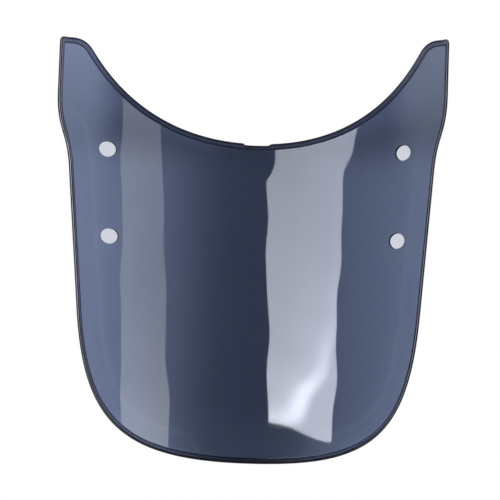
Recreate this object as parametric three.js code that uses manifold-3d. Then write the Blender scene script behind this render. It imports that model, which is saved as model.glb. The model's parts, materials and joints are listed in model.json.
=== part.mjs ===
// A motorcycle windshield screen: one moulded sheet of smoked polycarbonate.
// The sheet is bowed about an upright axis, has a concave cut-out at the top that goes round
// the headlight, an ear on each side of it, a narrow flange turned back all round its edge,
// and four slotted holes for the bracket screws.
// Millimetres, +Z up towards the cut-out, +X across, -Y on the hollow (rider's) side.

import * as THREE from 'three';
import { mergeVertices } from 'three/addons/utils/BufferGeometryUtils.js';
import Module from 'manifold-3d';

// ---- Driving dimensions ----

const SHEET_THICKNESS = 3;
const BOW_RADIUS = 280;

// The flange: a bend, then a short straight lip, all round the sheet.
const FLANGE_ANGLE = THREE.MathUtils.degToRad( 45 );
const FLANGE_BEND_RADIUS = 3;
const FLANGE_LIP = 4.5;

// The bend line, where the bowed sheet ends and the flange begins, seen from the front.
const BOTTOM_Z = 6.3;
const BOTTOM_REACH = 122;
const CORNER_PULL = new THREE.Vector2( 158.5, 34 );
const CORNER_TOP = new THREE.Vector2( 168.3, 145.8 );
const SIDE_TOP = new THREE.Vector2( 179.8, 290 );
const EAR_PULL = new THREE.Vector2( 182.8, 328 );
const EAR_PULL_Z = 330;
const EAR_HALF_WIDTH = 191.8;
const EAR_START_Z = 364;
const EAR_TOP_Z = 414.6;
const EAR_CORNER_RADIUS = 1.5;
const EAR_CORNER_STRETCH = 0.3;
const SHOULDER_RADIUS = 14.2;
const SHOULDER_CENTRE = new THREE.Vector2( 183.8, EAR_TOP_Z - SHOULDER_RADIUS );
const EAR_SLOPE = THREE.MathUtils.degToRad( 57.3 );
const EAR_SLOPE_RUN = 9.5;
const CUTOUT_APEX_Z = 317.4;
const CUTOUT_REACH = 80;
const CUTOUT_END_REACH = 61;

// The outer part of each ear is turned a little outwards.
const FLARE_FOOT = new THREE.Vector2( 187, 313 );
const FLARE_LEAN = 14 / 90;
const FLARE_SLOPE = 0.2;
const FLARE_SOFTNESS = 4;

// The holes lie in pairs on flat pads, and run square to the sheet.
const HOLES = [
	{ x: 149.6, z: 311.6 },
	{ x: 145.4, z: 224.0 },
];
const HOLE_WIDTH = 19;
const HOLE_HEIGHT = 15.4;
const PAD_RADIUS = 20;
const PAD_BLEND_RADIUS = 30;

// The trimmed moulding gate: a shallow step in the middle of the cut-out's edge.
const GATE_WIDTH = 27;
const GATE_DEPTH = 1.5;
const GATE_CENTRE_X = - 3.5;
const GATE_BLOCK_DEPTH = 60;
const GATE_BLOCK_HEIGHT = 40;

// How finely the sheet is divided.
const RINGS = [ 0, 0.12, 0.24, 0.36, 0.48, 0.6, 0.72, 0.83, 0.92, 0.97 ];
const BEND_STEPS = 2;
const OUTER_STEPS = [ 20, 6, 7, 3, 3 ];
const CUTOUT_STEPS = [ 22, 2, 4 ];
const EAR_STEPS = 2;

const SMOKED_POLYCARBONATE = new THREE.MeshStandardMaterial( {
	name: 'smoked_polycarbonate',
	color: 0x39415a,
	roughness: 0.06,
	metalness: 0,
	transparent: true,
	opacity: 0.8,
} );

// ---- The bend line, right half: round the bottom and side, and along the cut-out ----

function outerHalf() {

	const path = new THREE.Path();
	path.moveTo( 0, BOTTOM_Z );
	path.bezierCurveTo( BOTTOM_REACH, BOTTOM_Z, CORNER_PULL.x, CORNER_PULL.y, CORNER_TOP.x, CORNER_TOP.y );
	path.lineTo( SIDE_TOP.x, SIDE_TOP.y );
	path.bezierCurveTo( EAR_PULL.x, EAR_PULL.y, EAR_HALF_WIDTH, EAR_PULL_Z, EAR_HALF_WIDTH, EAR_START_Z );
	path.lineTo( EAR_HALF_WIDTH, EAR_TOP_Z - EAR_CORNER_RADIUS );
	path.absarc(
		EAR_HALF_WIDTH - EAR_CORNER_RADIUS, EAR_TOP_Z - EAR_CORNER_RADIUS,
		EAR_CORNER_RADIUS, 0, Math.PI / 2, false
	);
	return path;

}

function cutoutHalf() {

	const along = new THREE.Vector2( Math.cos( EAR_SLOPE ), Math.sin( EAR_SLOPE ) );
	const shoulderStart = EAR_SLOPE + Math.PI / 2;
	const slopeTop = new THREE.Vector2( Math.cos( shoulderStart ), Math.sin( shoulderStart ) )
		.multiplyScalar( SHOULDER_RADIUS ).add( SHOULDER_CENTRE );
	const curveEnd = slopeTop.clone().addScaledVector( along, - EAR_SLOPE_RUN );
	const handle = curveEnd.clone().addScaledVector( along, - CUTOUT_END_REACH );
	const path = new THREE.Path();
	path.moveTo( 0, CUTOUT_APEX_Z );
	path.bezierCurveTo( CUTOUT_REACH, CUTOUT_APEX_Z, handle.x, handle.y, curveEnd.x, curveEnd.y );
	path.lineTo( slopeTop.x, slopeTop.y );
	path.absarc( SHOULDER_CENTRE.x, SHOULDER_CENTRE.y, SHOULDER_RADIUS, shoulderStart, Math.PI / 2, true );
	return path;

}

const OUTER = outerHalf();
const CUTOUT = cutoutHalf();

// A point on a mirrored half line: share runs from -1 at the left end to 1 at the right end.
function mirrored( path, share ) {

	const point = path.getPoint( Math.abs( share ) );
	return new THREE.Vector2( Math.sign( share ) * point.x, point.y );

}

// The place seen from the front: across runs from -1 to 1, up from 0 on the outer line to 1 on the cut-out.
function place( across, up ) {

	return mirrored( OUTER, across ).lerp( mirrored( CUTOUT, across ), up );

}

// ---- The bowed surface: depth y as a function of x and z ----

function bow( x ) {

	return Math.sqrt( BOW_RADIUS ** 2 - x ** 2 ) - BOW_RADIUS;

}

function flare( x, z ) {

	const beyond = Math.abs( x ) - FLARE_FOOT.x + FLARE_LEAN * ( z - FLARE_FOOT.y );
	const soft = 0.5 * ( beyond + Math.hypot( beyond, FLARE_SOFTNESS ) );
	return FLARE_SLOPE * soft;

}

function depth( x, z ) {

	const free = bow( x ) + flare( x, z );
	let y = free;
	for ( const hole of HOLES ) {

		const slope = - hole.x / ( bow( hole.x ) + BOW_RADIUS );
		const flat = bow( hole.x ) + slope * ( Math.abs( x ) - hole.x );
		const distance = Math.hypot( Math.abs( x ) - hole.x, z - hole.z );
		const onPad = 1 - THREE.MathUtils.smoothstep( distance, PAD_RADIUS, PAD_BLEND_RADIUS );
		y += onPad * ( flat - free );

	}

	return y;

}

function surfacePoint( spot ) {

	return new THREE.Vector3( spot.x, depth( spot.x, spot.y ), spot.y );

}

// The normal on the full (+Y) side, from the slopes of the surface.
function surfaceNormal( spot ) {

	const step = 0.05;
	const slopeX = ( depth( spot.x + step, spot.y ) - depth( spot.x - step, spot.y ) ) / ( 2 * step );
	const slopeZ = ( depth( spot.x, spot.y + step ) - depth( spot.x, spot.y - step ) ) / ( 2 * step );
	return new THREE.Vector3( - slopeX, 1, - slopeZ ).normalize();

}

// ---- Stations along the edge, as places on the rim of the square ( across, up ) ----

// Shares of a path's length that divide each of its curves into the given number of steps.
function shares( path, steps ) {

	const ends = path.getCurveLengths();
	const total = ends[ ends.length - 1 ];
	const list = [];
	steps.forEach( ( count, curve ) => {

		const from = curve === 0 ? 0 : ends[ curve - 1 ];
		for ( let i = 1; i <= count; i ++ ) list.push( ( from + ( ends[ curve ] - from ) * i / count ) / total );

	} );
	return list;

}

function rim() {

	const outer = shares( OUTER, OUTER_STEPS );
	const cutout = shares( CUTOUT, CUTOUT_STEPS );
	const stations = [];
	outer.toReversed().forEach( ( share ) => stations.push( [ - share, 0 ] ) );
	stations.push( [ 0, 0 ] );
	outer.forEach( ( share ) => stations.push( [ share, 0 ] ) );
	for ( let i = 1; i < EAR_STEPS; i ++ ) stations.push( [ 1, i / EAR_STEPS ] );
	cutout.toReversed().forEach( ( share ) => stations.push( [ share, 1 ] ) );
	stations.push( [ 0, 1 ] );
	cutout.forEach( ( share ) => stations.push( [ - share, 1 ] ) );
	for ( let i = EAR_STEPS - 1; i > 0; i -- ) stations.push( [ - 1, i / EAR_STEPS ] );
	return stations;

}

// The flange runs further out round an ear's outer corner, so that the corner comes out nearly square.
function cornerStretch( across, up ) {

	const lengths = OUTER.getCurveLengths();
	const cornerStart = lengths[ lengths.length - 2 ] / lengths[ lengths.length - 1 ];
	const turned = ( Math.abs( across ) - cornerStart ) / ( 1 - cornerStart );
	return up === 0 && turned > 0 ? 1 + EAR_CORNER_STRETCH * Math.sin( Math.PI * turned ) ** 2 : 1;

}

// ---- The sheet: a round disc, re-shaped ring by ring ----

// Each ring of the disc is { ring } on the bowed sheet, or { bend, lip } on the flange.
function section() {

	const oneSide = RINGS.map( ( ring ) => ( { ring } ) );
	for ( let i = 0; i <= BEND_STEPS; i ++ ) oneSide.push( { bend: FLANGE_ANGLE * i / BEND_STEPS, lip: 0 } );
	oneSide.push( { bend: FLANGE_ANGLE, lip: FLANGE_LIP } );
	const full = oneSide.map( ( row ) => ( { ...row, side: 1 } ) );
	const hollow = oneSide.toReversed().map( ( row ) => ( { ...row, side: - 1 } ) );
	return [ ...full, ...hollow ];

}

function sheetGeometry() {

	const rows = section();
	const stations = rim();
	const count = stations.length;
	const half = SHEET_THICKNESS / 2;
	const edge = stations.map( ( [ across, up ] ) => place( across, up ) );

	// A disc of the same make-up: it starts and ends on its axis, so it is closed.
	const profile = rows.map( ( row, j ) => {

		const radius = 1 - Math.abs( 2 * j / ( rows.length - 1 ) - 1 );
		return new THREE.Vector2( radius, row.side );

	} );
	const disc = new THREE.LatheGeometry( profile, count );
	const positions = disc.getAttribute( 'position' );

	for ( let i = 0; i <= count; i ++ ) {

		const here = edge[ i % count ];
		const normal = surfaceNormal( here );
		const before = surfacePoint( edge[ ( i + count - 1 ) % count ] );
		const after = surfacePoint( edge[ ( i + 1 ) % count ] );
		const outward = normal.clone().cross( after.sub( before ) ).normalize();
		const [ across, up ] = stations[ i % count ];
		const stretch = cornerStretch( across, up );

		rows.forEach( ( row, j ) => {

			let point, thicknessWay;
			if ( row.ring === undefined ) {

				const { bend, lip } = row;
				const out = FLANGE_BEND_RADIUS * Math.sin( bend ) + lip * Math.cos( bend );
				const back = FLANGE_BEND_RADIUS * ( 1 - Math.cos( bend ) ) + lip * Math.sin( bend );
				thicknessWay = normal.clone().multiplyScalar( Math.cos( bend ) )
					.addScaledVector( outward, Math.sin( bend ) );
				point = surfacePoint( here )
					.addScaledVector( outward, out * stretch )
					.addScaledVector( normal, - back );

			} else {

				const spot = place( across * row.ring, 0.5 + ( up - 0.5 ) * row.ring );
				thicknessWay = surfaceNormal( spot );
				point = surfacePoint( spot );

			}

			point.addScaledVector( thicknessWay, row.side * half );
			positions.setXYZ( i * rows.length + j, point.x, point.y, point.z );

		} );

	}

	return disc;

}

// ---- Cutting ----

const wasm = await Module();
wasm.setup();

function toSolid( geometry ) {

	const bare = geometry.clone();
	bare.deleteAttribute( 'normal' );
	bare.deleteAttribute( 'uv' );
	const merged = mergeVertices( bare, 1e-4 );
	return new wasm.Manifold( new wasm.Mesh( {
		numProp: 3,
		vertProperties: merged.getAttribute( 'position' ).array,
		triVerts: new Uint32Array( merged.getIndex().array ),
	} ) );

}

function toGeometry( solid ) {

	const mesh = solid.getMesh();
	const geometry = new THREE.BufferGeometry();
	geometry.setAttribute( 'position', new THREE.BufferAttribute( mesh.vertProperties, 3 ) );
	geometry.setIndex( new THREE.BufferAttribute( mesh.triVerts, 1 ) );
	geometry.computeVertexNormals();
	return geometry;

}

// An oval rod through the sheet, square to its pad.
function holeRod( hole, side ) {

	const spot = new THREE.Vector2( side * hole.x, hole.z );
	const rod = new THREE.CylinderGeometry( 0.5, 0.5, 6 * SHEET_THICKNESS, 32 );
	rod.scale( HOLE_WIDTH, 1, HOLE_HEIGHT );
	const turn = new THREE.Quaternion().setFromUnitVectors( new THREE.Vector3( 0, 1, 0 ), surfaceNormal( spot ) );
	rod.applyQuaternion( turn );
	const centre = surfacePoint( spot );
	rod.translate( centre.x, centre.y, centre.z );
	return rod;

}

function gateBlock( sheet ) {

	const positions = sheet.getAttribute( 'position' );
	let edgeZ = 0;
	for ( let i = 0; i < positions.count; i ++ ) {

		if ( Math.abs( positions.getX( i ) ) < GATE_WIDTH / 2 ) edgeZ = Math.max( edgeZ, positions.getZ( i ) );

	}

	const block = new THREE.BoxGeometry( GATE_WIDTH, GATE_BLOCK_DEPTH, GATE_BLOCK_HEIGHT );
	block.translate( GATE_CENTRE_X, 0, edgeZ - GATE_DEPTH + GATE_BLOCK_HEIGHT / 2 );
	return block;

}

function screenGeometry() {

	const sheet = sheetGeometry();
	let solid = toSolid( sheet );
	for ( const hole of HOLES ) {

		for ( const side of [ - 1, 1 ] ) solid = solid.subtract( toSolid( holeRod( hole, side ) ) );

	}

	return toGeometry( solid.subtract( toSolid( gateBlock( sheet ) ) ) );

}

// ---- The part, with its origin at the middle of the foot of its box ----

const screen = new THREE.Mesh( screenGeometry(), SMOKED_POLYCARBONATE );
screen.name = 'windshield_screen';
const box = new THREE.Box3().setFromObject( screen );
screen.position.set( 0, - ( box.min.y + box.max.y ) / 2, - box.min.z );

const part = new THREE.Group();
part.name = 'motorcycle_windshield_screen';
part.add( screen );

export default part;
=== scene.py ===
# %% [markdown]
# # A smoked motorcycle windshield screen
# The real thing is one moulded sheet of smoked polycarbonate, 3 mm thick. It is bowed about an
# upright axis, cut out at the top to go round a headlight, turned back into a narrow flange all
# round its edge, and pierced by four holes for its brackets. The hollow side faces -Y.
# The imported model is loaded first, because it says where everything goes. Its box is kept, so
# that the finished piece and the board can be placed by it.

import json
import math

import bpy
import numpy as np
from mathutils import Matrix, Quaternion, Vector
from mathutils.geometry import delaunay_2d_cdt

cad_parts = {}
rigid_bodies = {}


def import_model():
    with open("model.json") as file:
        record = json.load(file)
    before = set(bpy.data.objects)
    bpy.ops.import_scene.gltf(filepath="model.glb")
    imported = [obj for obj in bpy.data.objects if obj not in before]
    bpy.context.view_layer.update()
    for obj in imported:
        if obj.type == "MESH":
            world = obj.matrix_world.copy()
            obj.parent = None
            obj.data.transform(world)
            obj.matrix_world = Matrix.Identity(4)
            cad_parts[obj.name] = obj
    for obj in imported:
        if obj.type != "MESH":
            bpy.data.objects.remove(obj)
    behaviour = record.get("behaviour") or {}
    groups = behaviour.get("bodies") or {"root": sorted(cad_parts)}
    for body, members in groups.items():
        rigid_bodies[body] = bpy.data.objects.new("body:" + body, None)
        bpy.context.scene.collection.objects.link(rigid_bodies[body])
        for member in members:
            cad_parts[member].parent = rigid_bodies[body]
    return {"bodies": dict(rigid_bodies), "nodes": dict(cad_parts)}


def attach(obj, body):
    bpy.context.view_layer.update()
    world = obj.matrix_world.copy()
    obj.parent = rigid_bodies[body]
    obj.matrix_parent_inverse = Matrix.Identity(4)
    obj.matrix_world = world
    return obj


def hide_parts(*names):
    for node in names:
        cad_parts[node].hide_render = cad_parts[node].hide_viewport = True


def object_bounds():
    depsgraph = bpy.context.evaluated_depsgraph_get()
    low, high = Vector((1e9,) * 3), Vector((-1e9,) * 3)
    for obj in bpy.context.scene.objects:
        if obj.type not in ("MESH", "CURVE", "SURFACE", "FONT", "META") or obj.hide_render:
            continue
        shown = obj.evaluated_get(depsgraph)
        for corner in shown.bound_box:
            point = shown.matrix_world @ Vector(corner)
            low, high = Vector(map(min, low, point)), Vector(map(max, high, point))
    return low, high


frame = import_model()
cad_low, cad_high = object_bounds()
body = sorted(frame["bodies"])[0]
print("body:", body, "nodes:", sorted(frame["nodes"]))
print("CAD box in mm:", [round(v * 1000, 1) for v in (*cad_low, *cad_high)])

# %% [markdown]
# ## The camera
# A long lens from three metres gives the flat look of a catalogue picture. The camera stands a
# little to the right of the screen and a little below its middle, and is rolled slightly. Its
# place is written as an azimuth, an elevation and a distance from the point it looks at.

# %% Camera
AZIMUTH, ELEVATION, ROLL = (math.radians(v) for v in (8.34, -4.79, 1.75))
DISTANCE = 3.02
FILM_WIDTH, SEEN_WIDTH = 36.0, 0.5
AIM = Vector((-0.0028, 0.005, 0.2128))

back = Vector(
    (
        math.sin(AZIMUTH) * math.cos(ELEVATION),
        -math.cos(AZIMUTH) * math.cos(ELEVATION),
        math.sin(ELEVATION),
    )
)
camera = bpy.data.objects.new("camera", bpy.data.cameras.new("camera"))
bpy.context.scene.collection.objects.link(camera)
camera.data.lens = FILM_WIDTH * DISTANCE / SEEN_WIDTH
camera.location = AIM + DISTANCE * back
camera.rotation_mode = "QUATERNION"
camera.rotation_quaternion = (-back).to_track_quat("-Z", "Y") @ Quaternion((0, 0, 1), ROLL)
bpy.context.scene.camera = camera
print("lens", round(camera.data.lens, 1), "mm, camera at", [round(v, 3) for v in camera.location])

# %% [markdown]
# ## The bend line
# The flange turns back along one closed line. Seen from the front its right half is a wide
# cubic curve round the bottom corner, a straight side, an S-curve into the ear, and a small
# arc at the ear's outer corner. The cut-out runs back along a cubic curve, a short straight
# slope and the arc of the shoulder. Each stretch is worked out finely and then shared out
# again into even steps, so that the edge is equally smooth everywhere.

# %% Curves of the bend line, in millimetres
BOTTOM_Z = 6.3
CORNER_TOP = (168.3, 145.8)
SIDE_TOP = (179.8, 290.0)
BOTTOM_REACH, CORNER_PULL, EAR_PULL, EAR_PULL_Z = 122, (158.5, 34), (182.8, 328), 330
EAR_HALF_WIDTH, EAR_START_Z, EAR_TOP_Z = 191.8, 364.0, 414.6
EAR_CORNER_RADIUS, EAR_CORNER_STRETCH = 1.5, 0.3
SHOULDER_RADIUS = 14.2
SHOULDER_CENTRE = np.array([183.8, EAR_TOP_Z - SHOULDER_RADIUS])
EAR_SLOPE, EAR_SLOPE_RUN = math.radians(57.3), 9.5
CUTOUT_APEX_Z, CUTOUT_REACH, CUTOUT_END_REACH = 317.4, 80.0, 61.0
STEP, SHOULDER_STEP, EAR_CORNER_STEP = 2.0, 1.3, 0.3


def cubic(start, reach_1, reach_2, end):
    """Bezier curve: each corner point weighted by 1, 3, 3, 1 times powers of t and 1 - t."""
    t = np.linspace(0, 1, 400)[:, None]
    corners = [np.array(p, float) for p in (start, reach_1, reach_2, end)]
    weights = [(1 - t) ** 3, 3 * t * (1 - t) ** 2, 3 * t**2 * (1 - t), t**3]
    return sum(w * p for w, p in zip(weights, corners))


def line(start, end):
    """Straight stretch: start plus t times the way to the end."""
    t = np.linspace(0, 1, 50)[:, None]
    return np.array(start) + t * (np.array(end) - np.array(start))


def arc(centre, radius, start, end):
    """Circle arc: centre plus radius times (cos, sin) of an angle from start to end."""
    angle = np.linspace(start, end, 60)[:, None]
    return np.array(centre) + radius * np.hstack([np.cos(angle), np.sin(angle)])


def even(points, step):
    """The same curve in equal steps: x and z read off at equal shares of the length run so far."""
    run = np.r_[0, np.cumsum(np.hypot(*np.diff(points, axis=0).T))]
    at = np.linspace(0, run[-1], max(2, round(run[-1] / step) + 1))
    return np.column_stack([np.interp(at, run, points[:, 0]), np.interp(at, run, points[:, 1])])


def chain(stretches):
    """Joins stretches end to end, leaving out each shared end."""
    return np.vstack([stretches[0]] + [s[1:] for s in stretches[1:]])


slope_way = np.array([math.cos(EAR_SLOPE), math.sin(EAR_SLOPE)])
shoulder_start = EAR_SLOPE + math.pi / 2
slope_top = SHOULDER_CENTRE + SHOULDER_RADIUS * np.array(
    [math.cos(shoulder_start), math.sin(shoulder_start)]
)
curve_end = slope_top - EAR_SLOPE_RUN * slope_way

corner_centre = (EAR_HALF_WIDTH - EAR_CORNER_RADIUS, EAR_TOP_Z - EAR_CORNER_RADIUS)
corner = even(arc(corner_centre, EAR_CORNER_RADIUS, 0, math.pi / 2), EAR_CORNER_STEP)
ear_foot = (EAR_HALF_WIDTH, EAR_START_Z)
outer_half = chain(
    [
        even(cubic((0, BOTTOM_Z), (BOTTOM_REACH, BOTTOM_Z), CORNER_PULL, CORNER_TOP), STEP),
        even(line(CORNER_TOP, SIDE_TOP), STEP),
        even(cubic(SIDE_TOP, EAR_PULL, (EAR_HALF_WIDTH, EAR_PULL_Z), ear_foot), STEP),
        even(line(ear_foot, corner[0]), STEP),
        corner,
    ]
)
cutout_half = chain(
    [
        even(
            cubic(
                (0, CUTOUT_APEX_Z),
                (CUTOUT_REACH, CUTOUT_APEX_Z),
                curve_end - CUTOUT_END_REACH * slope_way,
                curve_end,
            ),
            STEP,
        ),
        even(line(curve_end, slope_top), STEP),
        even(arc(SHOULDER_CENTRE, SHOULDER_RADIUS, shoulder_start, math.pi / 2), SHOULDER_STEP),
        even(line(SHOULDER_CENTRE + (0, SHOULDER_RADIUS), corner[-1]), STEP),
    ]
)
mirror = np.array([-1, 1])
edge = np.vstack(
    [
        outer_half[:0:-1] * mirror,
        outer_half,
        cutout_half[-2::-1],
        cutout_half[1:-1] * mirror,
    ]
)
turned = np.hypot(*(np.abs(edge) - corner_centre).T) < EAR_CORNER_RADIUS + 1e-6
turn = np.arctan2(edge[:, 1] - corner_centre[1], np.abs(edge[:, 0]) - corner_centre[0])
swell = np.sin(2 * np.clip(turn, 0, math.pi / 2)) ** 2
stretch = 1 + EAR_CORNER_STRETCH * np.where(turned, swell, 0)
on_cutout = np.arange(len(edge)) > 2 * len(outer_half) - 2
print(len(edge), "stations round the edge,", int(turned.sum()), "of them at the ear corners")

# %% [markdown]
# ## The bowed surface
# The middle of the sheet is a shallow trough: part of an upright cylinder, with the outer part
# of each ear turned outwards, and the faint waves that a hot-formed sheet keeps. They are too
# small to see as a shape, but they bend the edges of every reflection. Depth is a plain
# function of x and z, so any point of any curve can be put on the surface, and the normal
# follows from the two slopes.

# %% Depth and normal of the sheet
SHEET_THICKNESS = 3.0
HALF = SHEET_THICKNESS / 2
BOW_RADIUS = 280.0
FLARE_FOOT, FLARE_LEAN = (187.0, 313.0), 14 / 90
FLARE_SLOPE, FLARE_SOFTNESS = 0.2, 4.0
WAVES = [  # height in mm, cycles per metre along x and z, phase
    (0.10, 4.2, 6.5, 0.4),
    (0.06, -7.5, 9.0, 2.1),
    (0.035, 10.0, 17.0, 4.4),
]


def depth(x, z):
    """sqrt(R^2 - x^2) - R for the bow, plus a soft ramp past the flare line, plus sine waves."""
    bow = np.sqrt(BOW_RADIUS**2 - x**2) - BOW_RADIUS
    beyond = np.abs(x) - FLARE_FOOT[0] + FLARE_LEAN * (z - FLARE_FOOT[1])
    flare = FLARE_SLOPE * 0.5 * (beyond + np.hypot(beyond, FLARE_SOFTNESS))
    waves = sum(
        h * np.sin(2 * math.pi * (u * x + v * z) / 1000 + phase) for h, u, v, phase in WAVES
    )
    return bow + flare + waves


def on_sheet(spots):
    """Points (x, depth, z) of the middle surface, and normals (-dy/dx, 1, -dy/dz) made unit."""
    x, z = spots.T
    d = 0.05
    across = (depth(x + d, z) - depth(x - d, z)) / (2 * d)
    up = (depth(x, z + d) - depth(x, z - d)) / (2 * d)
    normals = np.column_stack([-across, np.ones_like(x), -up])
    normals /= np.linalg.norm(normals, axis=1)[:, None]
    return np.column_stack([x, depth(x, z), z]), normals


print("depth at a side:", round(float(depth(*SIDE_TOP)), 1), "mm")

# %% [markdown]
# ## Both faces of the sheet
# A grid of points is laid over the front view in rows that are half a step apart, so that they
# make nearly equal triangles. Only the points inside the bend line and clear of the holes are
# kept, and a Delaunay triangulation joins them to the lines. The same triangles serve twice:
# lifted half a thickness to the full side, and turned over on the hollow side.

# %% Hole lines
HOLES = [(149.6, 311.6), (145.4, 224.0)]
HOLE_WIDTH, HOLE_HEIGHT, HOLE_STEPS = 19.0, 15.4, 64
HOLE_ROUNDING = 0.5
HOLE_ANGLES = np.arange(HOLE_STEPS) * 2 * math.pi / HOLE_STEPS


def hole_line(x, z, grow):
    """Ellipse seen from the front: the width shrinks by the cosine of the sheet's tilt there."""
    tilt = math.sqrt(1 - (x / BOW_RADIUS) ** 2)
    return np.column_stack(
        [
            x + (HOLE_WIDTH / 2 + grow) * tilt * np.cos(HOLE_ANGLES),
            z + (HOLE_HEIGHT / 2 + grow) * np.sin(HOLE_ANGLES),
        ]
    )


hole_centres = [(side * x, z) for x, z in HOLES for side in (-1, 1)]
hole_rims = [hole_line(x, z, HOLE_ROUNDING) for x, z in hole_centres]
hole_walls = [hole_line(x, z, 0.0) for x, z in hole_centres]
print(len(hole_rims), "holes of", HOLE_STEPS, "steps")

# %% Triangulate the front view
GRID_STEP = 3.4
CLEARANCE = 1.7
LOWEST_ROW, ROWS, HALF_COLUMNS = -4, 154, 62


def inside(points, loop):
    """Even-odd rule: a point is inside if a ray along +x crosses the loop an odd number of times."""
    x1, z1 = loop.T
    x2, z2 = np.roll(loop, -1, axis=0).T
    x, z = points[:, 0, None], points[:, 1, None]
    spans = (z1 > z) != (z2 > z)
    rise = np.where(z2 == z1, 1, z2 - z1)
    return np.sum(spans & (x < x1 + (z - z1) * (x2 - x1) / rise), axis=1) % 2 == 1


row, column = np.meshgrid(
    np.arange(LOWEST_ROW, LOWEST_ROW + ROWS),
    np.arange(-HALF_COLUMNS, HALF_COLUMNS + 1),
    indexing="ij",
)
grid = np.column_stack(
    [
        ((column + 0.5 * (row % 2)) * GRID_STEP).ravel(),
        (row * GRID_STEP * math.sqrt(3) / 2).ravel(),
    ]
)
lines = np.vstack([edge, *hole_rims])
gap = np.min(np.hypot(*(grid[:, None, :] - lines[None]).transpose(2, 0, 1)), axis=1)
wanted = inside(grid, edge) & (gap > CLEARANCE)
for rim in hole_rims:
    wanted &= ~inside(grid, rim)
spots = np.vstack([lines, grid[wanted]])

counts = [len(edge)] + [HOLE_STEPS] * len(hole_rims)
starts = np.r_[0, np.cumsum(counts)]
loops = [np.arange(starts[i], starts[i + 1]) for i in range(len(counts))]
fences = np.vstack([np.column_stack([ids, np.roll(ids, -1)]) for ids in loops])
found = delaunay_2d_cdt(spots.tolist(), fences.tolist(), [], 0, 1e-7)
assert len(found[0]) == len(spots), "the triangulation added or merged points"
came_from = np.array([ids[0] for ids in found[3]])
triangles = came_from[np.array([list(f) for f in found[2]])]
middles = spots[triangles].mean(axis=1)
kept = inside(middles, edge)
for rim in hole_rims:
    kept &= ~inside(middles, rim)
triangles = triangles[kept]
a, b, c = spots[triangles].transpose(1, 0, 2)
turning = (b - a)[:, 0] * (c - a)[:, 1] - (b - a)[:, 1] * (c - a)[:, 0]
triangles[turning < 0] = triangles[turning < 0][:, ::-1]
print(len(spots), "points and", len(triangles), "triangles in one face")

# %% [markdown]
# ## The flange and the walls of the holes
# The flange is a profile carried round the bend line: a bend of 45 degrees, a straight lip,
# and a cut face with two small rounded corners. At each station the profile lies in the plane
# of the sheet's normal and the way outwards. A hole's wall is the same idea with a simpler
# profile. Each profile starts on the full side's line and ends on the hollow side's, so the
# bands close the two faces into one solid.
# Three marks are kept for each point of the flange, for the material to use later: how much
# it belongs to the sawn face, to the lip, and to the dark lines of painted shade.

# %% The flange's profile
BEND, BEND_RADIUS, LIP = math.radians(45), 3.0, 4.5
ROUNDING, ROUNDING_STEPS, BEND_STEPS = 0.7, 4, 6
GATE_WIDTH, GATE_DEPTH, GATE_CENTRE_X, GATE_RAMP = 27.0, 1.5, -3.5, 0.8
PALE_ROW = 0.4

bends = np.linspace(0, BEND, BEND_STEPS + 1)[1:]
turns = np.linspace(0, math.pi / 2, ROUNDING_STEPS + 1)
one_side = (
    [(bend, 0.0, 0.0, HALF, 0.0) for bend in bends]
    + [(BEND, 0.5, 0.0, HALF, 0.0)]
    + [
        (BEND, 1.0, ROUNDING * math.sin(t), HALF - ROUNDING * (1 - math.cos(t)), t)
        for t in turns
    ]
)
cut_rows = [
    (BEND, 1.0, ROUNDING, 0.0, math.pi / 2, 1.0),
    (BEND, 1.0, ROUNDING, PALE_ROW, math.pi / 2, -1.0),
]
profile = [(*p, 1.0) for p in one_side] + cut_rows + [(*p, -1.0) for p in one_side[::-1]]
bend, lip_share, ahead, off, rounding, side = np.array(profile).T[:, :, None]

points, normals = on_sheet(edge)
way = np.roll(points, -1, axis=0) - np.roll(points, 1, axis=0)
outward = np.cross(normals, way)
outward /= np.linalg.norm(outward, axis=1)[:, None]
in_gate = np.clip((GATE_WIDTH / 2 - np.abs(edge[:, 0] - GATE_CENTRE_X)) / GATE_RAMP + 0.5, 0, 1)
lip = LIP - ROUNDING - np.where(on_cutout, in_gate, 0) * GATE_DEPTH / math.cos(BEND)


def carried(values, vectors):
    """One number for each profile row times one vector for each station."""
    return values[:, :, None] * vectors[None]


thick_way = carried(np.cos(bend), normals) + carried(np.sin(bend), outward)
lip_way = carried(np.cos(bend), outward) - carried(np.sin(bend), normals)
out = (BEND_RADIUS * np.sin(bend) + lip_share * lip * np.cos(bend)) * stretch
back_by = BEND_RADIUS * (1 - np.cos(bend)) + lip_share * lip * np.sin(bend)
flange = (
    points
    + out[:, :, None] * outward
    - back_by[:, :, None] * normals
    + ahead[:, :, None] * lip_way
    + (side * off)[:, :, None] * thick_way
)
flange_normals = (side * np.cos(rounding))[:, :, None] * thick_way + np.sin(rounding)[
    :, :, None
] * lip_way
# The sawn face's pale finish is partly its own matt sawn surface and partly painted light: fainter
# on the cut-out, stronger towards the sides.
pale_sawn_and_painted = np.where(on_cutout, 0.15, np.clip(np.abs(edge[:, 0]) / 150, 0.5, 1.0) ** 2)
cut_face = (off == PALE_ROW) * pale_sawn_and_painted
# The lip mark takes a darker tint of painted shade in the material.
on_lip = np.repeat((lip_share > 0).astype(float), len(edge), axis=1)
in_bend = (side < 0) & (lip_share == 0)
on_corner = (rounding > math.radians(10)) & (off != PALE_ROW)
# Painted shade: the bend and the rounded corners of the sawn face are marked for a near-black
# finish.
painted_dark_rows = np.where(on_corner, 1.0, np.where(in_bend, 0.85, 0.0))
flange_painted_dark = np.repeat(painted_dark_rows, len(edge), axis=1)
print("flange:", flange.shape[0], "rows of", flange.shape[1], "points")

# %% The holes' walls
hole_side = np.repeat([1.0, -1.0], ROUNDING_STEPS)[:, None]
hole_turn = np.r_[turns[1:], turns[:0:-1]][:, None]


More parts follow.
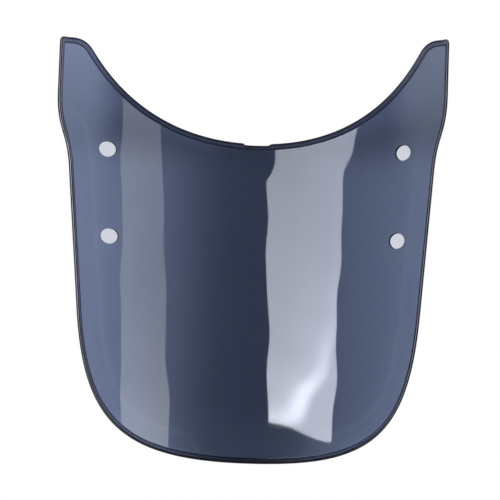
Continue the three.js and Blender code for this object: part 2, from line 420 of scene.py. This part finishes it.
def hole_band(rim, wall):
    """From the rim to the wall by 1 - sin t, and through the thickness by cos t, on each side."""
    rim_points, _ = on_sheet(rim)
    wall_points, wall_normals = on_sheet(wall)
    inward = wall_points - rim_points
    inward_unit = inward / np.linalg.norm(inward, axis=1)[:, None]
    through = hole_side * (HALF - HOLE_ROUNDING * (1 - np.cos(hole_turn)))
    band = wall_points - carried(1 - np.sin(hole_turn), inward) + carried(through, wall_normals)
    band_normals = carried(hole_side * np.cos(hole_turn), wall_normals) + carried(
        np.sin(hole_turn), inward_unit
    )
    return band, band_normals


# Painted shade on a hole's wall and a painted highlight on its rim, strongest towards the middle and
# up.
def painted_shade_and_highlight_side(x):
    """0.9 times the way to the middle, 0.45 times the way up, plus 0.25, kept between 0 and 1."""
    to_middle = -np.sign(x) * np.cos(HOLE_ANGLES)
    return np.clip(0.9 * to_middle + 0.45 * np.sin(HOLE_ANGLES) + 0.25, 0, 1)


hole_bands = [hole_band(rim, wall) for rim, wall in zip(hole_rims, hole_walls)]
hole_shades = [painted_shade_and_highlight_side(x) for x, _ in hole_centres]
print("hole wall:", hole_bands[0][0].shape[0], "rows of", HOLE_STEPS, "points")

# %% [markdown]
# ## One closed mesh
# Everything is stacked into one array of points: the full face, the hollow face, the flange
# band and the four hole bands. The faces between two rows of a band are found from the rows'
# point numbers. The exact normals of the formulas go in as well, because flat shading or
# averaged normals would break up the reflections on so smooth a sheet.
# A fourth mark follows the sides a little way in, for a soft paler line of painted light, and
# gives the holes' rims a painted highlight on their side towards the middle and up.

# %% Assemble the screen
# The soft paler line of painted light lies this far in from the sides, with this width.
PAINTED_LINE_INSET, PAINTED_LINE_WIDTH = 17.0, 2.6
LINE_BELOW_Z, LINE_BEYOND_X = 330, 70
# Painted shade on the holes' walls, through the third mark.
HOLE_SHADE = (0, 0, 0.75, 0)
face_points, face_normals = on_sheet(spots)
on_sides = (edge[:, 1] < LINE_BELOW_Z) & (np.abs(edge[:, 0]) > LINE_BEYOND_X)
sides_only = edge[~on_cutout & on_sides]
from_side = np.min(np.hypot(*(spots[:, None, :] - sides_only[None]).transpose(2, 0, 1)), axis=1)
painted_light_line = np.exp(-(((from_side - PAINTED_LINE_INSET) / PAINTED_LINE_WIDTH) ** 2))
for ids, shade in zip(loops[1:], hole_shades):
    painted_light_line[ids] = shade
stack = [face_points + HALF * face_normals, face_points - HALF * face_normals]
stack_normals = [face_normals, -face_normals]
marks = [np.column_stack([np.zeros((2 * len(spots), 3)), np.tile(painted_light_line, 2)])]
faces = [triangles[:, ::-1], triangles + len(spots)]
used = 2 * len(spots)


def band_faces(first, between, last):
    """Quads between neighbouring rows, each joined to the next station round the loop."""
    rows = np.vstack([first, between, last])
    nxt = np.roll(rows, -1, axis=1)
    quads = np.stack([rows[:-1], nxt[:-1], nxt[1:], rows[1:]], axis=-1)
    return quads.reshape(-1, 4)


flange_marks = np.stack([cut_face, on_lip, flange_painted_dark, np.zeros_like(on_lip)], axis=-1)
bands = [(flange, flange_normals, flange_marks)] + [
    (band, band_normals, np.ones((*band.shape[:2], 1)) * shade[:, None] * HOLE_SHADE)
    for (band, band_normals), shade in zip(hole_bands, hole_shades)
]
quads = []
for ids, (band, band_normals, mark) in zip(loops, bands):
    numbers = used + np.arange(band.shape[0] * band.shape[1]).reshape(band.shape[:2])
    quad = band_faces(ids, numbers, ids + len(spots))
    quads.append(quad if ids[0] == 0 else quad[:, ::-1])
    stack.append(band.reshape(-1, 3))
    stack_normals.append(band_normals.reshape(-1, 3))
    marks.append(mark.reshape(-1, 4))
    used += numbers.size

vertices = np.vstack(stack)
vertex_normals = np.vstack(stack_normals)
low, high = vertices.min(axis=0), vertices.max(axis=0)
lifted = np.array([0, cad_high[1] * 1000 - high[1], cad_low[2] * 1000 - low[2]])
vertices += lifted
mesh = bpy.data.meshes.new("screen")
mesh.from_pydata(
    (vertices / 1000).tolist(),
    [],
    [f for part in (*faces, *quads) for f in part.tolist()],
)
mesh.validate()
mesh.update()
mesh.shade_smooth()
mesh.normals_split_custom_set_from_vertices(vertex_normals.tolist())
# The marks: the sawn face, partly painted light; the lip, painted shade; dark lines of painted
# shade; and a paler line of painted light.
for name, values in zip(("cut_face", "lip", "crease", "painted_light_line"), np.vstack(marks).T):
    painted = mesh.attributes.new(name, "FLOAT", "POINT")
    painted.data.foreach_set("value", np.ascontiguousarray(values))
screen = bpy.data.objects.new("smoked_screen", mesh)
bpy.context.scene.collection.objects.link(screen)
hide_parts("windshield_screen")
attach(screen, body)

edge_uses = np.zeros(len(mesh.edges), int)
loop_edges = np.zeros(len(mesh.loops), int)
mesh.loops.foreach_get("edge_index", loop_edges)
np.add.at(edge_uses, loop_edges, 1)
print(len(mesh.polygons), "faces,", int((edge_uses != 2).sum()), "open or doubled edges")
print("screen in mm:", np.round(high - low, 1))

# %% [markdown]
# ## Shader maths in Python
# A node tree is easier to read as an expression. The small class below wraps a socket, and
# +, -, * on it add the Math node that does the sum. One method makes every other node: its
# settings go in first, because they decide which sockets the node has, and then its values
# and links.


# %% Wrapped sockets and a node maker
EASE = {"interpolation_type": "SMOOTHSTEP"}


class Value:
    """A socket that takes part in Python expressions."""

    def __init__(self, graph, socket):
        self.graph, self.socket = graph, socket

    def math(self, operation, *terms):
        """The Math node that does one operation on these terms."""
        return self.graph.add("ShaderNodeMath", {"operation": operation}, *terms).out()

    def __add__(self, other):
        return self.math("ADD", self, other)

    def __sub__(self, other):
        return self.math("SUBTRACT", self, other)

    def __rsub__(self, other):
        return self.math("SUBTRACT", other, self)

    def __mul__(self, other):
        return self.math("MULTIPLY", self, other)

    __radd__, __rmul__ = __add__, __mul__

    def absolute(self):
        """The size of the value without its sign."""
        return self.math("ABSOLUTE", self)

    def root(self):
        """The square root."""
        return self.math("SQRT", self)

    def at_least(self, other):
        """The larger of the two."""
        return self.math("MAXIMUM", self, other)

    def ramp(self, start, end, low, high):
        """Straight from low to high while the value goes from start to end, and level outside."""
        return self.graph.add("ShaderNodeMapRange", {}, self, start, end, low, high).out()

    def step(self, start, end, low=0.0, high=1.0):
        """The same, but eased at both ends: t * t * (3 - 2 * t) in place of t."""
        return self.graph.add("ShaderNodeMapRange", EASE, self, start, end, low, high).out()


class Made:
    """A node that has just been made; out() gives one of its outputs as a Value."""

    def __init__(self, graph, node):
        self.graph, self.node = graph, node

    def out(self, name=0):
        """The output with this name or number."""
        return Value(self.graph, self.node.outputs[name])


class Graph:
    """A node tree that is filled through one method, add()."""

    def __init__(self, tree):
        self.tree = tree
        tree.nodes.clear()

    def fill(self, socket, term):
        """Links a Value to a socket, or sets a plain number or colour on it."""
        if isinstance(term, Value):
            self.tree.links.new(term.socket, socket)
        else:
            socket.default_value = term

    def add(self, kind, settings=None, *terms, **named):
        """Makes a node: its type, its settings, then the values or links of its sockets."""
        node = self.tree.nodes.new(kind)
        for key, value in (settings or {}).items():
            setattr(node, key, value)
        for socket, term in zip(node.inputs, terms):
            self.fill(socket, term)
        for key, term in named.items():
            self.fill(node.inputs[key.replace("_", " ")], term)
        return Made(self, node)

    def blend(self, factor, one, other):
        """Colour mix: one where the factor is 0, the other where it is 1."""
        node = self.tree.nodes.new("ShaderNodeMix")
        node.data_type = "RGBA"
        factor_socket, _, _, _, _, _, one_socket, other_socket = node.inputs[:8]
        for socket, term in ((factor_socket, factor), (one_socket, one), (other_socket, other)):
            self.fill(socket, term)
        return Value(self, node.outputs[2])

    def mix(self, factor, one, other):
        """Shader mix: one where the factor is 0, the other where it is 1."""
        return self.add("ShaderNodeMixShader", {}, factor, one, other).out()

    def light(self, colour, strength=1.0):
        """A surface that shines with this colour and strength."""
        return self.add("ShaderNodeEmission", {}, Color=colour, Strength=strength).out()

    def matt(self, *colour):
        """A matt surface of this red, green and blue."""
        return self.add("ShaderNodeBsdfDiffuse", {}, Color=(*colour, 1)).out()

    def mark(self, name):
        """A mark that was painted on the points of the mesh."""
        return self.add("ShaderNodeAttribute", {"attribute_name": name}).out("Fac")

    def place(self):
        """The object's own x, y and z, in metres, as one vector."""
        return self.add("ShaderNodeTexCoord").out("Object")

    def seen_directly(self):
        """1 for what is looked at straight, 0 for what is seen in or through something else."""
        return self.add("ShaderNodeLightPath").out("Is Camera Ray")


def new_material(name):
    """An empty node material and its graph."""
    made = bpy.data.materials.new(name)
    made.use_nodes = True
    return made, Graph(made.node_tree)


print("node maker ready")

# %% [markdown]
# ## Smoked polycarbonate
# The sheet is clear plastic with a blue-grey dye all through it. So it is made as glass with
# the index of polycarbonate, tinted partly on its surface and partly by absorption inside,
# which darkens it where light runs further through: along the flange and the hole walls.
# Faint flow clouds, handling haze and hairlines keep it from looking like a drawing of glass.
# The edge of such a sheet traps light. The bend and the rounded corners show as dark lines,
# and the sawn face between them as a pale one. Refraction alone leaves them too faint here,
# so the marks on the mesh paint them in: painted shade as a near-black finish on the bend, the
# rounded corners and the side of each hole's wall towards the middle and up, and a pale finish
# on the sawn face that is partly its own matt sawn surface and partly painted light. The lip is
# darker by painted shade, and a paler tint of painted light runs a little inside each side and
# round the holes' rims.

# %% The smoked sheet's material
INDEX = 1.585
TINT = (0.57, 0.62, 0.715, 1)
TINT_DEEP = (0.53, 0.58, 0.685, 1)
# The next four colours are painted: a paler tint of painted light, a darker tint of painted shade
# for the lip, a near-black painted shade for the dark lines, and the sawn face's pale finish, partly
# its own matt surface and partly painted light.
PAINTED_LIGHT_LINE_TINT = (0.74, 0.77, 0.82, 1)
LIP_PAINTED_SHADE = (0.20, 0.205, 0.28, 1)
PAINTED_DARK_COLOUR = (0.010, 0.011, 0.024, 1)
SAWN_AND_PAINTED_PALE = (0.46, 0.44, 0.43, 1)
ABSORPTION_DENSITY = 500.0
ABSORPTION_COLOUR = (0.476, 0.524, 0.636, 1)

smoked, g = new_material("smoked_polycarbonate")
where = g.place()
# The second mark here paints shade: the dark lines along the bend, the corners and the hole walls.
cut_mark, painted_dark_mark = g.mark("cut_face"), g.mark("crease")
flow_place = g.add("ShaderNodeMapping", {}, where, Scale=(1.0, 1.0, 0.35)).out()
flow = g.add("ShaderNodeTexNoise", {}, flow_place, Scale=14.0, Detail=3.0).out("Fac")
haze = g.add("ShaderNodeTexNoise", {}, where, Scale=9.0, Detail=6.0, Roughness=0.7).out("Fac")
hair_place = g.add(
    "ShaderNodeMapping", {}, where, Rotation=(0.0, 0.5, 0.0), Scale=(1.0, 1.0, 0.02)
).out()
hair = g.add("ShaderNodeTexNoise", {}, hair_place, Scale=900.0, Detail=2.0).out("Fac")
hairlines = hair.ramp(0.68, 0.80, 0.0, 1.0)
colour = g.blend(flow, TINT, TINT_DEEP)
# Painted light: a paler tint along a line inside each side and on the holes' rims.
colour = g.blend(g.mark("painted_light_line") * 0.28, colour, PAINTED_LIGHT_LINE_TINT)
# Painted shade: the lip is given a darker copy of the smoked tint.
colour = g.blend(g.mark("lip") * 0.8, colour, LIP_PAINTED_SHADE)
rough = 0.018 + 0.03 * haze + 0.05 * hairlines + 0.25 * cut_mark
relief = flow * 0.4 + hairlines * 0.02
bump = g.add("ShaderNodeBump", {}, Height=relief, Strength=0.05, Distance=0.0006)
surface = g.add(
    "ShaderNodeBsdfPrincipled",
    {},
    Base_Color=colour,
    Roughness=rough,
    IOR=INDEX,
    Transmission_Weight=1.0,
    Normal=bump.out(),
)
# A near-black finish for the painted shade of the dark lines.
painted_dark_finish = g.add(
    "ShaderNodeBsdfPrincipled", {}, Base_Color=PAINTED_DARK_COLOUR, Roughness=0.4, Specular_IOR_Level=0.05
)
# Pale finish of the sawn face: partly its own matt sawn surface, partly painted light.
sawn_and_painted_pale = g.add("ShaderNodeBsdfPrincipled", {}, Base_Color=SAWN_AND_PAINTED_PALE, Roughness=0.45, IOR=INDEX)
finish = g.mix(painted_dark_mark * 0.97, surface.out(), painted_dark_finish.out())
finish = g.mix(cut_mark * 0.9, finish, sawn_and_painted_pale.out())
inside_dye = g.add(
    "ShaderNodeVolumeAbsorption", {}, Color=ABSORPTION_COLOUR, Density=ABSORPTION_DENSITY
)
g.add("ShaderNodeOutputMaterial", {}, Surface=finish, Volume=inside_dye.out())
mesh.materials.append(smoked)
through = [
    math.exp(-ABSORPTION_DENSITY * (1 - c) * SHEET_THICKNESS / 1000) for c in ABSORPTION_COLOUR[:3]
]
print("dye lets through", [round(v, 2) for v in through], "of red, green, blue")

# %% [markdown]
# ## The stage
# The screen stands on a pale floor against a white board, as it would for a catalogue. Both
# show one side only, so the screen can be seen from behind and from below as well. Two tall
# soft panels stand in front, and the hollow side mirrors each as an upright strip. Two more
# stand at the sides, for the full side to mirror. The room round them is dark to mirror rays,
# as a studio is.


# %% Stage helpers
def staged_sheet(name, corners, faces=((0, 1, 2, 3),)):
    """A staged sheet from its corners, in metres, facing by the right-hand rule."""
    flat = bpy.data.meshes.new(name)
    flat.from_pydata(corners, [], list(faces))
    thing = bpy.data.objects.new(name, flat)
    bpy.context.scene.collection.objects.link(thing)
    return thing


def one_sided(name, finish_of):
    """The finish that finish_of(graph) returns from the front, and nothing from the back."""
    made, tree = new_material(name)
    front = finish_of(tree)
    clear = tree.add("ShaderNodeBsdfTransparent").out()
    from_behind = tree.add("ShaderNodeNewGeometry").out("Backfacing")
    tree.add("ShaderNodeOutputMaterial", {}, Surface=tree.mix(from_behind, front, clear))
    return made


print("stage helpers ready")

# %% [markdown]
# The floor is lifted half-way to white for what is seen directly, and keeps the screen's soft
# shadow. The board is clean white where it is seen directly. Where it is seen through the
# plastic it is matt: darker behind the slopes of the cut-out, warmer behind the right ear, and
# faintly lit towards the sides and the floor. These patches stand in for differences of light
# whose source isn't known, and don't follow from the other lights.

# %% Floor and board
REACH = 4.0
BOARD_GAP = 0.002
FLOOR_GREY, BOARD_GREY = 0.7, 0.9
FLOOR_SHINE, BOARD_LIT = 0.45, 0.14
WHITE = (1, 1, 1, 1)


def floor_finish(tree):
    """Matt grey, with a share of white light for what is seen directly."""
    grey = tree.matt(*[FLOOR_GREY] * 3)
    return tree.mix(FLOOR_SHINE * tree.seen_directly(), grey, tree.light(WHITE))


def board_finish(tree):
    """White light for what is seen directly, and a matt board with painted shade and painted light
    for the rest.
    """
    axes = tree.add("ShaderNodeSeparateXYZ", {}, tree.place())
    x, z = axes.out("X"), axes.out("Z")
    across = (x + 0.009).absolute()
    painted_shade_by_slopes = z.step(0.29, 0.345) * across.step(0.174, 0.134)
    painted_warm_light_by_right_ear = x.step(0.13, 0.17, 0.0, 0.5) * z.step(0.30, 0.35)
    matt = tree.mix(painted_shade_by_slopes, tree.matt(*[BOARD_GREY] * 3), tree.matt(0.41, 0.43, 0.49))
    matt = tree.mix(painted_warm_light_by_right_ear, matt, tree.matt(0.62, 0.55, 0.45))
    share = across.step(0.03, 0.11) * z.step(0.34, 0.28) + z.step(0.07, 0.0, 0.0, 0.3)
    lit = tree.light((0.85, 0.95, 1.15, 1), BOARD_LIT * share)
    uneven = tree.add("ShaderNodeAddShader", {}, matt, lit).out()
    return tree.mix(tree.seen_directly(), uneven, tree.light(WHITE))


outline = np.array([(-1, -1), (1, -1), (1, 1), (-1, 1)])
floor = staged_sheet("floor", [(REACH * a, REACH * b, 0) for a, b in outline])
floor.data.materials.append(one_sided("floor_white", floor_finish))
board_y = cad_high[1] + BOARD_GAP
board = staged_sheet("board", [(REACH * a, board_y, REACH * b) for a, b in outline])
board.data.materials.append(one_sided("board_white", board_finish))
for thing in (floor, board):
    thing.visible_glossy = False
print("board", BOARD_GAP * 1000, "mm behind the screen")

# %% [markdown]
# A hole looks pale grey and not white, most likely because the board behind it is in the
# screen's own shade. A small card just behind each hole gives it that grey, as a stand-in. It
# is seen only through the open hole from the front: not through the plastic or from behind.

# %% Cards behind the holes
CARD_GREY = (0.617, 0.644, 0.723, 1)
CARD_HALF_SIDE, CARD_GAP = 10.5, 0.8

card_paint = one_sided("card_grey", lambda tree: tree.light(CARD_GREY))
for i, centre in enumerate(hole_centres):
    card_points, card_normals = on_sheet(np.array(centre) + CARD_HALF_SIDE * outline)
    card_points = (card_points + (HALF + CARD_GAP) * card_normals + lifted) / 1000
    card = staged_sheet(f"hole_card_{i}", card_points.tolist())
    card.data.materials.append(card_paint)
    card.visible_diffuse = card.visible_glossy = False
    card.visible_transmission = card.visible_shadow = False
print(len(hole_centres), "cards")

# %% [markdown]
# The soft panels stand on a circle of one metre. Each is described by levels: a height, and
# the azimuths of its two edges at that height, counted from -Y towards +X. They are seen only
# in reflections. u runs across a panel and v up it, both from 0 to 1.

# %% Soft panels
BRIGHT_LEVELS = [(0.05, -38.7, -14.6), (0.40, -40.3, -11.0), (0.52, -50.9, -18.7)]
DIM_LEVELS = [(0.03, 20.8, 39.0), (0.60, 29.3, 43.7)]
LEFT_LEVELS = [(-0.2, -125, -95), (0.8, -125, -95)]
RIGHT_LEVELS = [(-0.2, 92, 118), (0.8, 92, 118)]
BRIGHT_COLOUR, DIM_COLOUR = (0.95, 0.97, 1.10, 1), (0.98, 0.98, 1.0, 1)
RING_CENTRE_V, RING_SQUASH = 0.50, 2.08


def soft_panel(name, levels, colour, glow):
    """A panel a metre away: each level's corners at (sin, -cos) of its azimuths."""
    low, high = levels[0][0], levels[-1][0]
    corners = [
        (math.sin(math.radians(a)), -math.cos(math.radians(a)), z)
        for z, *edges in levels
        for a in edges
    ]
    faces = [(2 * i, 2 * i + 1, 2 * i + 3, 2 * i + 2) for i in range(len(levels) - 1)]
    panel = staged_sheet(name, corners, faces)
    order = np.ravel(faces)
    heights = np.array(corners)[order, 2]
    spread = np.column_stack([order % 2, (heights - low) / (high - low)])
    panel.data.uv_layers.new(name="panel").data.foreach_set("uv", spread.ravel())
    made, tree = new_material(name)
    uv = tree.add("ShaderNodeSeparateXYZ", {}, tree.add("ShaderNodeTexCoord").out("UV"))
    shining = tree.light(colour, glow(uv.out("X"), uv.out("Y")))
    tree.add("ShaderNodeOutputMaterial", {}, Surface=shining)
    panel.data.materials.append(made)
    panel.visible_camera = panel.visible_diffuse = False
    panel.visible_transmission = panel.visible_shadow = False


def dim_glow(u, v):
    """Brighter towards the floor."""
    return v.step(0.0, 0.42, 3.0, 1.75)


def even_glow(u, v):
    """Brightest in the middle, with a soft fall towards the panel's rim."""
    along = (v - 0.5).absolute().step(0.2, 0.5, 1.0, 0.0)
    across = (u - 0.5).absolute().step(0.05, 0.5, 1.0, 0.0)
    return 4.0 * along * across


def bright_glow(u, v):
    """Brighter towards the floor, with a curved hot band low on it.

    The band follows a squashed ring: the distance from its centre, less 1, is 0 on its crest.
    """
    mirrored = 1 - u
    rise = (v - RING_CENTRE_V) * RING_SQUASH
    ring = (mirrored * mirrored + rise * rise).root() - 1
    inner = 2.8 * ring.step(-0.75, 0.0) + 6.4 * ring.step(-0.18, 0.0)
    outer = ring.step(0.0, 0.13, 1.0, 0.0)
    low = v.step(0.50, 0.10)
    middle = (mirrored - 0.5).absolute().step(0.0, 0.5, 1.0, 0.5)
    return v.ramp(0.0, 0.9, 8.6, 5.0) + inner * outer * low * middle


soft_panel("bright_panel", BRIGHT_LEVELS, BRIGHT_COLOUR, bright_glow)
soft_panel("dim_panel", DIM_LEVELS, DIM_COLOUR, dim_glow)
soft_panel("left_panel", LEFT_LEVELS, WHITE, even_glow)
soft_panel("right_panel", RIGHT_LEVELS, WHITE, even_glow)
print("4 panels")

# %% [markdown]
# The room lights the matt things mainly from both sides, a little more from the left, and
# less from above and below. What is seen directly or through the plastic is white, and what
# is seen in a reflection is nearly dark.

# %% Room light
ROOM_FOR_MIRRORS = 0.1
SIDE_LIGHT, FRONT_LIGHT, LEFT_LEAD = 4.35, 0.26, 0.17
SLOPE_LOSS = 1.25
SIDE_COLOUR = (0.95, 1.0, 1.11, 1)

world = bpy.data.worlds.new("studio")
bpy.context.scene.world = world
world.use_nodes = True
w = Graph(world.node_tree)
ray = w.add("ShaderNodeLightPath")
white_ray = ray.out("Is Camera Ray").at_least(ray.out("Is Transmission Ray"))
way = w.add("ShaderNodeSeparateXYZ", {}, w.add("ShaderNodeTexCoord").out("Generated"))
sideways = way.out("X").absolute() - LEFT_LEAD * way.out("X")
level = (1 - SLOPE_LOSS * way.out("Z").absolute()).at_least(0.0)
side_light = FRONT_LIGHT + SIDE_LIGHT * sideways * level
room = ROOM_FOR_MIRRORS + (1 - ROOM_FOR_MIRRORS) * white_ray
plain = w.add("ShaderNodeBackground", {}, Color=WHITE, Strength=room).out()
sides = w.add("ShaderNodeBackground", {}, Color=SIDE_COLOUR, Strength=side_light).out()
sky = w.mix(ray.out("Is Diffuse Ray"), plain, sides)
w.add("ShaderNodeOutputWorld", {}, Surface=sky)
bpy.context.scene.view_settings.view_transform = "Standard"
print("side light", SIDE_LIGHT, "and", ROOM_FOR_MIRRORS, "in mirrors")
